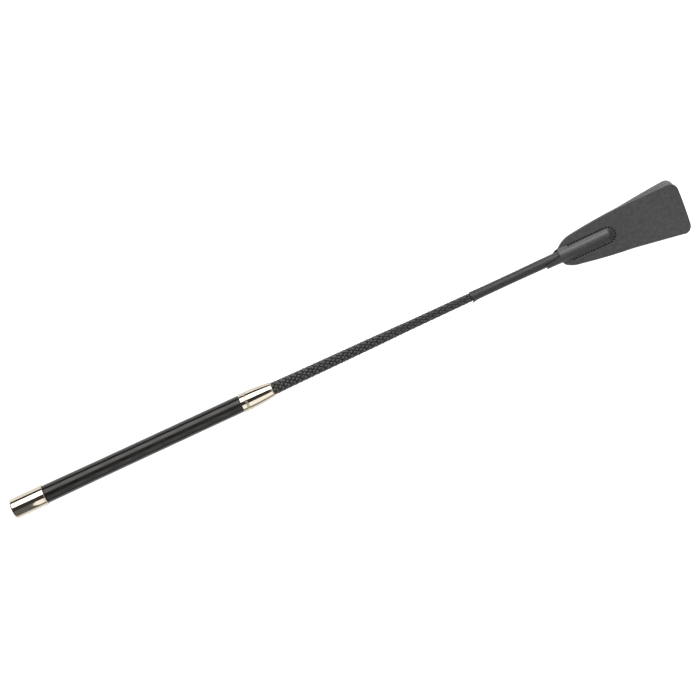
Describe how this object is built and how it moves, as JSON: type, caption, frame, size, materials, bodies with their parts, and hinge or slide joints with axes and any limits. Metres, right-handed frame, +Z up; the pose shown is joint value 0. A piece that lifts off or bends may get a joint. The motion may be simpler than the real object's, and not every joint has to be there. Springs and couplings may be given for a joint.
{
  "type": "riding crop",
  "caption": "Straight riding crop with a metal butt cap, ridged grip, metal collar, braided tapered shaft, wrapped tip and a flapper of leather leaves sewn round the rod's tip.",
  "frame": {"origin": "centre of the butt end, on the crop's axis", "axes": "+X along the crop from the butt to the flapper, +Z up, out of the front face of the flapper as it lies flat"},
  "size_m": [0.6488, 0.0472, 0.024],
  "materials": {
    "nickel": "mirror polished nickel plate, warm",
    "plug_wood": "plain turned",
    "fibreglass": "smooth resin",
    "handle_plastic": "moulded",
    "grip_cover": "black, closely ridged, satin",
    "braid": "black waxed plaited strands, shiny",
    "thread": "black waxed thread",
    "underlay_yarn": "matte yarn",
    "sleeve_wrap": "black, fine cross grain, satin",
    "tip_rubber": "matte",
    "flap_leather": "charcoal black, smooth fine grain, matte"
  },
  "bodies": {
    "stick": {"butt_cap": "nickel", "collar": "nickel", "end_plug": "plug_wood", "core_rod": "fibreglass", "grip_core": "handle_plastic", "grip_wrap": "grip_cover", "braid_start_whipping": "thread", "shaft_underlay": "underlay_yarn", "braid_cover": "braid", "braid_end_whipping": "thread", "tip_underlay": "underlay_yarn", "tip_sleeve": "sleeve_wrap", "rod_tip_cap": "tip_rubber", "front_panel": "flap_leather", "back_panel": "flap_leather", "pocket_stitching": "thread"},
    "front_flap": {"front_leaf": "flap_leather"},
    "back_flap": {"back_leaf": "flap_leather"}
  },
  "joints": [
    {"name": "front_flap_flex", "type": "hinge", "parent": "stick", "child": "front_flap", "pos_m": [0.587, 0, 0.00095], "axis": [0, -1, 0], "range_deg": [-12, 23], "stiffness_Nm_per_rad": 0.03, "springref_deg": 2.86},
    {"name": "back_flap_flex", "type": "hinge", "parent": "stick", "child": "back_flap", "pos_m": [0.587, 0, -0.00095], "axis": [0, 1, 0], "range_deg": [-6.8, 28.2], "stiffness_Nm_per_rad": 0.03}
  ]
}
